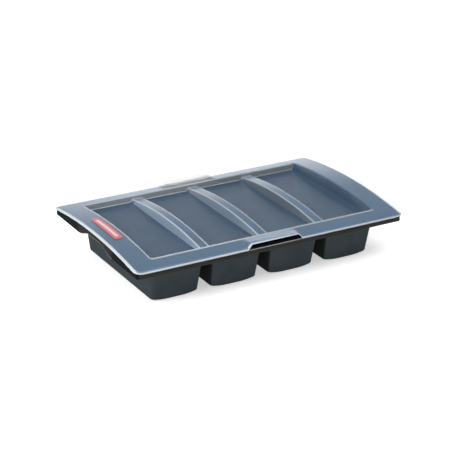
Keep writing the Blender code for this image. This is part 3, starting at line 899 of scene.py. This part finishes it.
class Nodes:
    """Short names for building one material's nodes."""

    def __init__(self, name):
        self.material = bpy.data.materials.new(name)
        self.material.use_nodes = True
        self.tree = self.material.node_tree
        self.shader = self.tree.nodes["Principled BSDF"]
        self.place = self.add("ShaderNodeTexCoord").outputs["Object"]

    def add(self, kind, **settings):
        node = self.tree.nodes.new(kind)
        for key, value in settings.items():
            setattr(node, key, value)
        return node

    def link(self, source, target):
        self.tree.links.new(source, target)

    def set(self, **values):
        for key, value in values.items():
            self.shader.inputs[key.replace("_", " ")].default_value = value

    def noise(self, scale, detail=2.0):
        node = self.add("ShaderNodeTexNoise")
        node.inputs["Scale"].default_value = scale
        node.inputs["Detail"].default_value = detail
        self.link(self.place, node.inputs["Vector"])
        return node.outputs["Fac"]

    def ramp(self, source, low, high, start=0.3, end=0.7):
        """Colours or greys between low and high as the source goes from start to end."""
        node = self.add("ShaderNodeValToRGB")
        for element, at, value in zip(node.color_ramp.elements, (start, end), (low, high)):
            element.position = at
            element.color = (*value, 1.0) if isinstance(value, tuple) else (value, value, value, 1.0)
        self.link(source, node.inputs["Fac"])
        return node.outputs["Color"]

    def math(self, operation, a, b=0.0):
        node = self.add("ShaderNodeMath", operation=operation)
        for socket, value in zip(node.inputs, (a, b)):
            if isinstance(value, (int, float)):
                socket.default_value = value
            else:
                self.link(value, socket)
        return node.outputs[0]

    def axes(self):
        """X, Y and Z of the place on the piece."""
        split = self.add("ShaderNodeSeparateXYZ")
        self.link(self.place, split.inputs[0])
        return split.outputs

    def ease(self, value, start, end):
        """0 to 1, smoothly, as a value goes from start to end."""
        node = self.add("ShaderNodeMapRange", interpolation_type="SMOOTHSTEP")
        self.link(value, node.inputs["Value"])
        node.inputs["From Min"].default_value = start
        node.inputs["From Max"].default_value = end
        return node.outputs["Result"]

    def mix(self, share, first, second):
        node = self.add("ShaderNodeMix", data_type="RGBA")
        for socket, value in zip((node.inputs[0], node.inputs[6], node.inputs[7]), (share, first, second)):
            if isinstance(value, tuple):
                socket.default_value = (*value, 1.0)
            else:
                self.link(value, socket)
        return node.outputs[2]

    def bump(self, height, distance, strength, under=None):
        node = self.add("ShaderNodeBump")
        node.inputs["Distance"].default_value = distance
        node.inputs["Strength"].default_value = strength
        self.link(height, node.inputs["Height"])
        if under is not None:
            self.link(under, node.inputs["Normal"])
        return node.outputs["Normal"]


def frosted_material(name, dark, light, roughness, clear, sheen, painted_shade_right, specular=0.5):
    """Frosted polypropylene: a milky body, its tone scaled toward the right end: painted shade where the
    share is below one, painted light where it is above.
    """
    nodes = Nodes(name)
    flow = nodes.noise(FLOW_SCALE, 3.0)
    left = nodes.ramp(flow, dark, light)
    right = nodes.ramp(flow, scaled(dark, painted_shade_right), scaled(light, painted_shade_right))
    # painted light and shade: the tone eases from the left look to the scaled right look along X
    sheet = nodes.mix(nodes.ease(nodes.axes()[0], WEB_CENTRES[0], WEB_CENTRES[-1]), left, right)
    nodes.link(sheet, nodes.shader.inputs["Base Color"])
    nodes.link(nodes.ramp(nodes.noise(FROST_SCALE, 4.0), *roughness), nodes.shader.inputs["Roughness"])
    nodes.set(Transmission_Weight=clear, IOR=POLYPROPYLENE_IOR, Specular_IOR_Level=specular)
    nodes.set(Sheen_Weight=sheen, Sheen_Roughness=SHEEN_ROUGHNESS, Sheen_Tint=SHEEN_TINT)
    return nodes.material


def silicone_material(name, share=1.0):
    """Charcoal silicone rubber: matt and grained, paler on skirt and cups; the black on the rim and its ends
    is painted shade under the lid.
    """
    nodes = Nodes(name)
    mottle = nodes.noise(MOTTLE_SCALE, 4.0)
    grain = nodes.noise(RUBBER_GRAIN_SCALE, 3.0)
    x, y, z = nodes.axes()

    def tone(dark, light):
        return nodes.ramp(mottle, scaled(dark, share), scaled(light, share))

    cup = tone((0.030, 0.038, 0.042), (0.039, 0.048, 0.053))
    skirt = tone((0.023, 0.0225, 0.022), (0.030, 0.0295, 0.029))
    handhold = tone((0.018, 0.016, 0.015), (0.024, 0.021, 0.020))
    # painted shade: near black on the rim, on the skirt above the ledge and on the ends outside the hand
    # holds, where the lid shades them
    rim = tone((0.003, 0.0035, 0.0045), (0.005, 0.0055, 0.0065))
    on_handhold = nodes.ease(nodes.math("ABSOLUTE", y), HANDHOLD_HALF_BASE + HANDHOLD_TONE_FADE,
                             HANDHOLD_HALF_BASE - HANDHOLD_TONE_FADE)
    at_end = nodes.ease(nodes.math("ABSOLUTE", x), RIM_CENTRE[0], RIM_HALF[0])
    # the ends are painted in shade, paler inside the hand holds
    side = nodes.mix(at_end, skirt, nodes.mix(on_handhold, rim, handhold))
    lower = nodes.mix(nodes.ease(z, *CUP_TONE_END), cup, side)
    off_end = nodes.math("SUBTRACT", 1.0, at_end)
    above = nodes.math("MULTIPLY", nodes.ease(z, LEDGE_Z, LEDGE_Z + LEDGE_DEPTH), off_end)
    nodes.link(nodes.mix(above, lower, rim), nodes.shader.inputs["Base Color"])
    nodes.link(nodes.ramp(mottle, 0.56, 0.68), nodes.shader.inputs["Roughness"])
    wave = nodes.bump(mottle, *RUBBER_WAVE)
    nodes.link(nodes.bump(grain, *RUBBER_GRAIN, wave), nodes.shader.inputs["Normal"])
    nodes.set(Specular_IOR_Level=0.02)
    return nodes.material


def edge_highlight_material():
    """The same rubber, painted pale along the ledge and the hand holds' edges as a painted highlight."""
    nodes = Nodes("tray_silicone_painted_highlight")
    # painted highlight: pale rubber where the edges catch the light, mottled by noise
    highlight_mottle = nodes.noise(HIGHLIGHT_MOTTLE_SCALE, 4.0)
    nodes.link(nodes.ramp(highlight_mottle, (0.24, 0.235, 0.23), (0.32, 0.315, 0.305)), nodes.shader.inputs["Base Color"])
    nodes.link(nodes.ramp(highlight_mottle, 0.40, 0.50), nodes.shader.inputs["Roughness"])
    nodes.link(nodes.bump(nodes.noise(RUBBER_GRAIN_SCALE, 3.0), *RUBBER_GRAIN), nodes.shader.inputs["Normal"])
    nodes.set(Specular_IOR_Level=0.3)
    return nodes.material


def steel_material():
    """Drawn spring steel wire: bright, with fine streaks."""
    nodes = Nodes("wire_steel")
    streak = nodes.noise(STREAK_SCALE, 3.0)
    nodes.link(nodes.ramp(streak, (0.48, 0.48, 0.49), (0.62, 0.62, 0.63)), nodes.shader.inputs["Base Color"])
    nodes.link(nodes.ramp(streak, 0.28, 0.42), nodes.shader.inputs["Roughness"])
    nodes.link(nodes.bump(streak, *STREAK_BUMP), nodes.shader.inputs["Normal"])
    nodes.set(Metallic=1.0)
    return nodes.material


def label_material():
    """Printed film: a red frame that fades into a pale field to write on."""
    nodes = Nodes("label_film")
    beyond = []
    for value, half, width in zip(nodes.axes(), LABEL_HALF, LABEL_FRAME):
        past = nodes.math("SUBTRACT", nodes.math("ABSOLUTE", value), half - width)
        beyond.append(nodes.math("MAXIMUM", past, 0.0))
    squares = [nodes.math("MULTIPLY", value, value) for value in beyond]
    distance = nodes.math("SQRT", nodes.math("ADD", *squares))
    print_grain = nodes.noise(PRINT_SCALE, 3.0)
    red = nodes.ramp(print_grain, (0.46, 0.11, 0.15), (0.56, 0.15, 0.19))
    pale = nodes.ramp(print_grain, (0.62, 0.45, 0.46), (0.72, 0.56, 0.57))
    colour = nodes.mix(nodes.ease(distance, 0.0, LABEL_FADE), pale, red)
    nodes.link(colour, nodes.shader.inputs["Base Color"])
    nodes.link(nodes.ramp(print_grain, 0.35, 0.5), nodes.shader.inputs["Roughness"])
    nodes.link(nodes.bump(print_grain, *PRINT_BUMP), nodes.shader.inputs["Normal"])
    return nodes.material


# Stage

def look_from(azimuth, elevation):
    """Unit vector from the object towards a viewer at an azimuth and elevation."""
    flat = math.cos(elevation)
    return Vector((math.sin(azimuth) * flat, -math.cos(azimuth) * flat, math.sin(elevation)))


def add_camera():
    data = bpy.data.cameras.new("camera")
    data.lens = CAMERA_LENS
    data.sensor_width = CAMERA_SENSOR
    data.clip_end = CAMERA_REACH
    camera = place_object("camera", data)
    back = look_from(CAMERA_AZIMUTH, CAMERA_ELEVATION)
    camera.location = CAMERA_TARGET + back * CAMERA_DISTANCE
    camera.rotation_euler = back.to_track_quat("Z", "Y").to_euler()
    bpy.context.scene.camera = camera


def add_softbox(name, azimuth, elevation, distance, size, power):
    """A square area light that faces the origin. The angles are in degrees."""
    data = bpy.data.lights.new(name, "AREA")
    data.shape = "SQUARE"
    data.size = size
    data.energy = power
    light = place_object(name, data)
    back = look_from(math.radians(azimuth), math.radians(elevation))
    light.location = back * distance
    light.rotation_euler = back.to_track_quat("Z", "Y").to_euler()


def add_floor():
    bpy.ops.mesh.primitive_plane_add(size=2 * FLOOR_HALF)
    floor = bpy.context.object
    floor.name = "floor"
    nodes = Nodes("floor_paper")
    tone = nodes.ramp(nodes.noise(PAPER_SCALE), (0.90, 0.90, 0.90), (0.93, 0.93, 0.93))
    nodes.link(tone, nodes.shader.inputs["Base Color"])
    nodes.set(Roughness=0.9, Specular_IOR_Level=0.1)
    nodes.set(Emission_Color=(1.0, 1.0, 1.0, 1.0), Emission_Strength=0.5)
    floor.data.materials.append(nodes.material)


def add_world():
    world = bpy.data.worlds.new("studio")
    world.use_nodes = True
    tree = world.node_tree
    direction = tree.nodes.new("ShaderNodeTexCoord")
    split = tree.nodes.new("ShaderNodeSeparateXYZ")
    tree.links.new(direction.outputs["Generated"], split.inputs[0])
    ramp = tree.nodes.new("ShaderNodeValToRGB")
    tree.links.new(split.outputs["Z"], ramp.inputs["Fac"])
    for element, at, value in zip(ramp.color_ramp.elements, WORLD_HEIGHTS, WORLD_TONES):
        element.position = at
        element.color = (value, value, value, 1.0)
    tree.links.new(ramp.outputs["Color"], tree.nodes["Background"].inputs["Color"])
    bpy.context.scene.world = world
    bpy.context.scene.view_settings.view_transform = "Standard"


def add_stage():
    add_camera()
    add_floor()
    add_world()
    add_softbox("key_left", azimuth=-80.0, elevation=32.0, distance=1.6, size=1.0, power=16.0)
    add_softbox("back_low", azimuth=151.0, elevation=5.0, distance=2.5, size=0.9, power=3.4)
    add_softbox("top", azimuth=10.0, elevation=80.0, distance=2.0, size=2.0, power=26.0)


build_tray()
build_stiffener()
build_lid()
build_label()
add_stage()
